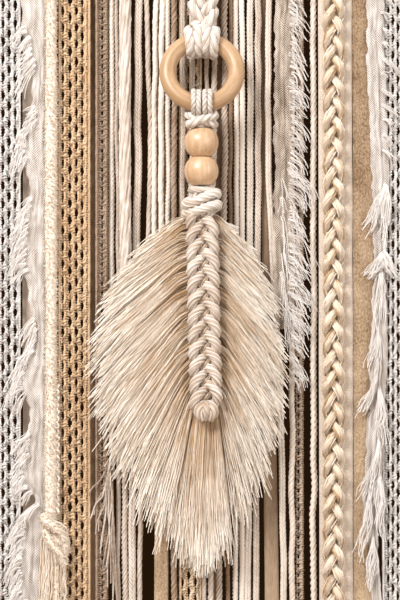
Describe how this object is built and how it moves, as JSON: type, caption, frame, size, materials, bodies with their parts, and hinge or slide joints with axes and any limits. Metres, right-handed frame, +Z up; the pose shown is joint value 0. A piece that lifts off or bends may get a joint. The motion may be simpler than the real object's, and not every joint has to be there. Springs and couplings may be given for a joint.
{
  "type": "dreamcatcher tail with macrame feather",
  "caption": "Hanging lower part of a dreamcatcher: a macrame feather on a wooden ring with beads, in front of strips of lace, gauze, ribbon, felt and cord.",
  "frame": {"origin": "middle of the top edge, on the front face of the narrow heading that carries the strips", "axes": "+Z up along the strips, +X to the right as seen from the front, -Y towards the viewer"},
  "size_m": [0.253, 0.0412, 0.43],
  "materials": {
    "cotton_string": "matte twisted cotton",
    "white_crochet": "matte cotton crochet",
    "tan_crochet": "matte cotton crochet",
    "greige_crochet": "matte cotton crochet",
    "white_gauze": "sheer torn cotton gauze",
    "greige_ribbon": "soft sheen",
    "tan_felt": "matte felted wool",
    "ivory_ribbon": "matte cotton tape",
    "cream_chenille": "deep matte pile",
    "cotton_roving": "soft untwisted cotton",
    "plaited_yarn": "soft brushed yarn",
    "macrame_cord": "matte twisted cotton",
    "combed_fringe": "combed cotton fibres",
    "pale_wood": "satin lacquer"
  },
  "bodies": {
    "root": {"string_curtain": "cotton_string", "white_lace_left": "white_crochet", "white_lace_right": "white_crochet", "tan_lace_left": "tan_crochet", "tan_lace_centre": "tan_crochet", "greige_lace_left": "greige_crochet", "torn_gauze_left": "white_gauze", "torn_gauze_middle": "white_gauze", "torn_gauze_right": "white_gauze", "frayed_threads_middle": "white_gauze", "frayed_threads_right": "white_gauze", "greige_ribbon_left": "greige_ribbon", "shadow_ribbon_left": "greige_ribbon", "shadow_ribbon_centre": "greige_ribbon", "satin_ribbon_right": "greige_ribbon", "knit_tape_right": "greige_ribbon", "felt_ribbon_centre": "tan_felt", "felt_ribbon_right": "tan_felt", "ivory_ribbon_right": "ivory_ribbon", "chenille_strip": "cream_chenille", "soft_roving": "cotton_roving", "plait_yarn_1": "plaited_yarn", "plait_yarn_2": "plaited_yarn", "plait_yarn_3": "plaited_yarn", "wooden_ring": "pale_wood", "wooden_bead_1": "pale_wood", "wooden_bead_2": "pale_wood", "hanging_braid": "macrame_cord", "upper_knot": "macrame_cord", "neck_wraps": "macrame_cord", "spine_knots": "macrame_cord", "feather_fringe_left": "combed_fringe", "feather_fringe_right": "combed_fringe", "feather_fringe_tip": "combed_fringe"}
  },
  "joints": []
}
